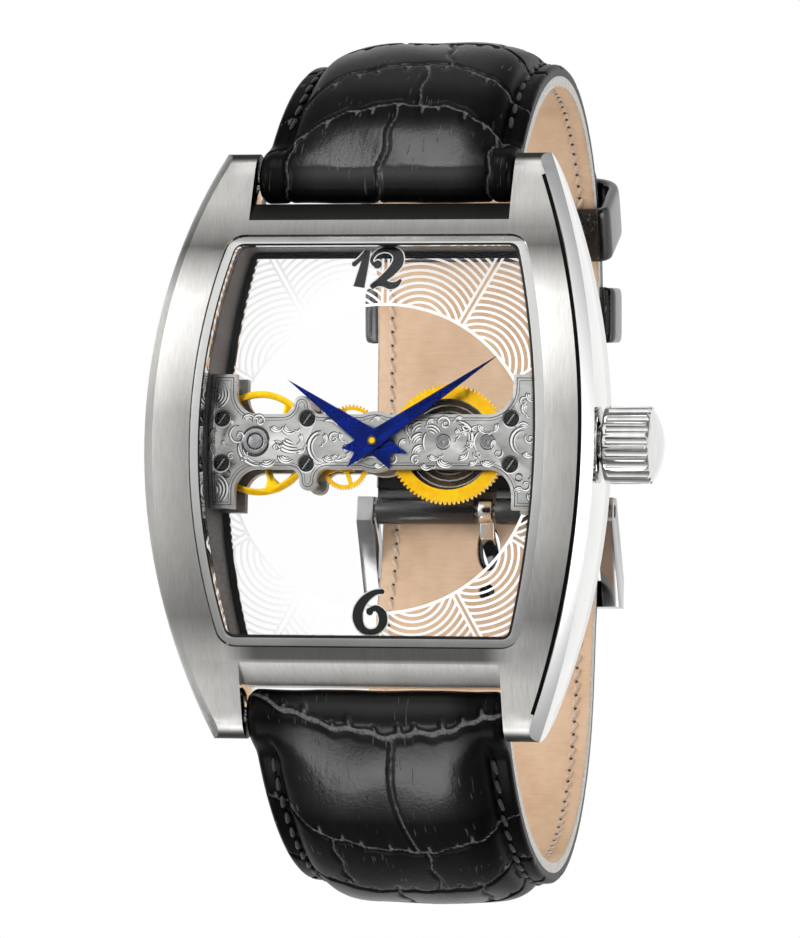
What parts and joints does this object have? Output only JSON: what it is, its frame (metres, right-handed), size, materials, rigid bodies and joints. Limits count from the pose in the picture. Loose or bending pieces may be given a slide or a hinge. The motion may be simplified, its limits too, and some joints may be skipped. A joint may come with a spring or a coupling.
{
  "type": "mechanical wristwatch",
  "caption": "Tonneau steel wristwatch with a see-through bar movement, blue hands, fluted crown and a buckled black leather strap.",
  "frame": {"origin": "on the hands' axis, at the outer face of the back crystal", "axes": "+X towards the crown, +Y towards twelve o'clock, +Z out of the front"},
  "size_m": [0.0432, 0.0752, 0.0591],
  "materials": {
    "steel_case": "brushed",
    "steel_polished": "polished",
    "crystal": "clear",
    "gasket": "matt",
    "holder_dark": "satin",
    "printed_glass": "clear with a white print",
    "bridge_silver": "engraved",
    "screw_black": "blackened",
    "ruby": "polished",
    "wheel_gold": "gilt",
    "spring_steel": "tempered",
    "hand_blue": "blued",
    "leather_black": "glossy, embossed",
    "leather_lining": "matt"
  },
  "bodies": {
    "case": {"mid_case": "steel_case", "crystal_ring": "steel_polished", "front_crystal": "crystal", "crystal_gasket": "gasket", "movement_holder": "holder_dark", "back_frame": "steel_case", "back_crystal": "crystal", "back_gasket": "gasket", "back_screws": "steel_polished", "dial_glass": "printed_glass", "crown_tube": "steel_polished", "main_plate": "bridge_silver", "train_bridge": "bridge_silver", "bridge_screws": "screw_black", "bridge_jewels": "ruby", "plate_jewels": "ruby", "shock_setting": "spring_steel", "hairspring": "spring_steel", "hairspring_stud": "spring_steel", "click_spring": "spring_steel", "strap_12": "leather_black", "strap_12_lining": "leather_lining", "strap_6": "leather_black", "strap_6_lining": "leather_lining", "keeper_fixed": "leather_black", "buckle_frame": "steel_polished", "buckle_bar": "steel_polished", "spring_bar_12": "steel_polished", "spring_bar_6": "steel_polished"},
    "minute_arbor": {"centre_wheel": "wheel_gold", "cannon_pinion": "spring_steel", "minute_hand": "hand_blue"},
    "motion_wheel": {"minute_wheel": "wheel_gold"},
    "hour_pipe": {"hour_wheel": "wheel_gold", "hour_hand": "hand_blue"},
    "barrel": {"barrel_drum": "wheel_gold", "barrel_cover": "wheel_gold", "mainspring": "spring_steel"},
    "winding_arbor": {"barrel_arbor": "spring_steel", "ratchet_wheel": "spring_steel"},
    "winding_wheel": {"crown_wheel": "spring_steel"},
    "third": {"third_wheel": "wheel_gold"},
    "fourth": {"fourth_wheel": "wheel_gold"},
    "escape": {"escape_wheel": "spring_steel"},
    "pallets": {"pallet_fork": "spring_steel", "pallet_stones": "ruby"},
    "balance": {"balance_wheel": "wheel_gold", "balance_staff": "spring_steel", "roller": "spring_steel"},
    "crown_slide": {"crown_gasket": "gasket"},
    "crown_stem": {"crown": "steel_polished", "stem": "steel_polished", "winding_pinion": "steel_polished"},
    "click_lever": {"click": "spring_steel"},
    "tongue": {"buckle_tongue": "steel_polished"},
    "loose_keeper": {"keeper_free": "leather_black"}
  },
  "joints": [
    {"name": "minute_turn", "type": "hinge", "parent": "case", "child": "minute_arbor", "pos_m": [0, 0, 0.004], "axis": [0, 0, -1], "continuous": true},
    {"name": "motion_turn", "type": "hinge", "parent": "case", "child": "motion_wheel", "pos_m": [0.0016, 0, 0.004], "axis": [0, 0, -1], "continuous": true},
    {"name": "hour_turn", "type": "hinge", "parent": "case", "child": "hour_pipe", "pos_m": [0, 0, 0.004], "axis": [0, 0, -1], "continuous": true},
    {"name": "barrel_turn", "type": "hinge", "parent": "case", "child": "barrel", "pos_m": [0.00585, 0, 0.004], "axis": [0, 0, -1], "continuous": true},
    {"name": "third_turn", "type": "hinge", "parent": "case", "child": "third", "pos_m": [-0.0026, 0.001, 0.004], "axis": [0, 0, -1], "continuous": true},
    {"name": "fourth_turn", "type": "hinge", "parent": "case", "child": "fourth", "pos_m": [-0.0029, -0.00189, 0.004], "axis": [0, 0, -1], "continuous": true},
    {"name": "escape_turn", "type": "hinge", "parent": "case", "child": "escape", "pos_m": [-0.0052, -0.0014, 0.004], "axis": [0, 0, -1], "continuous": true},
    {"name": "pallet_rock", "type": "hinge", "parent": "case", "child": "pallets", "pos_m": [-0.00687, -0.00093, 0.004], "axis": [0, 0, 1], "range_deg": [-5, 5]},
    {"name": "balance_swing", "type": "hinge", "parent": "case", "child": "balance", "pos_m": [-0.0102, 0, 0.004], "axis": [0, 0, 1], "range_deg": [-140, 140], "stiffness_Nm_per_rad": 0.0000014},
    {"name": "crown_pull", "type": "slide", "parent": "case", "child": "crown_slide", "axis": [1, 0, 0], "range_m": [0, 0.001]},
    {"name": "crown_turn", "type": "hinge", "parent": "crown_slide", "child": "crown_stem", "pos_m": [0.0193, 0, 0.00441], "axis": [1, 0, 0], "continuous": true},
    {"name": "crown_wheel_turn", "type": "hinge", "parent": "case", "child": "winding_wheel", "pos_m": [0.0096, 0, 0.00529], "axis": [0, 0, 1], "continuous": true},
    {"name": "ratchet_turn", "type": "hinge", "parent": "case", "child": "winding_arbor", "pos_m": [0.00585, 0, 0.00529], "axis": [0, 0, 1], "continuous": true},
    {"name": "click_swing", "type": "hinge", "parent": "case", "child": "click_lever", "pos_m": [0.0031, -0.00155, 0.00529], "axis": [0, 0, -1], "range_deg": [0, 8], "stiffness_Nm_per_rad": 0.000001},
    {"name": "tongue_lift", "type": "hinge", "parent": "case", "child": "tongue", "pos_m": [0, -0.0014, -0.0427], "axis": [1, 0, 0], "range_deg": [0, 6]},
    {"name": "keeper_slide", "type": "hinge", "parent": "case", "child": "loose_keeper", "pos_m": [0, 0.014, -0.0217], "axis": [1, 0, 0], "range_deg": [-5, 12]}
  ],
  "couplings": [
    {"joint": "motion_turn", "follows": "minute_turn", "ratio": -0.33333},
    {"joint": "hour_turn", "follows": "minute_turn", "ratio": 0.083333},
    {"joint": "barrel_turn", "follows": "minute_turn", "ratio": -0.175},
    {"joint": "third_turn", "follows": "minute_turn", "ratio": -3.8571},
    {"joint": "fourth_turn", "follows": "minute_turn", "ratio": 14.786},
    {"joint": "escape_turn", "follows": "minute_turn", "ratio": -73.929},
    {"joint": "crown_wheel_turn", "follows": "crown_turn", "ratio": -0.5},
    {"joint": "ratchet_turn", "follows": "crown_turn", "ratio": 0.37209}
  ]
}
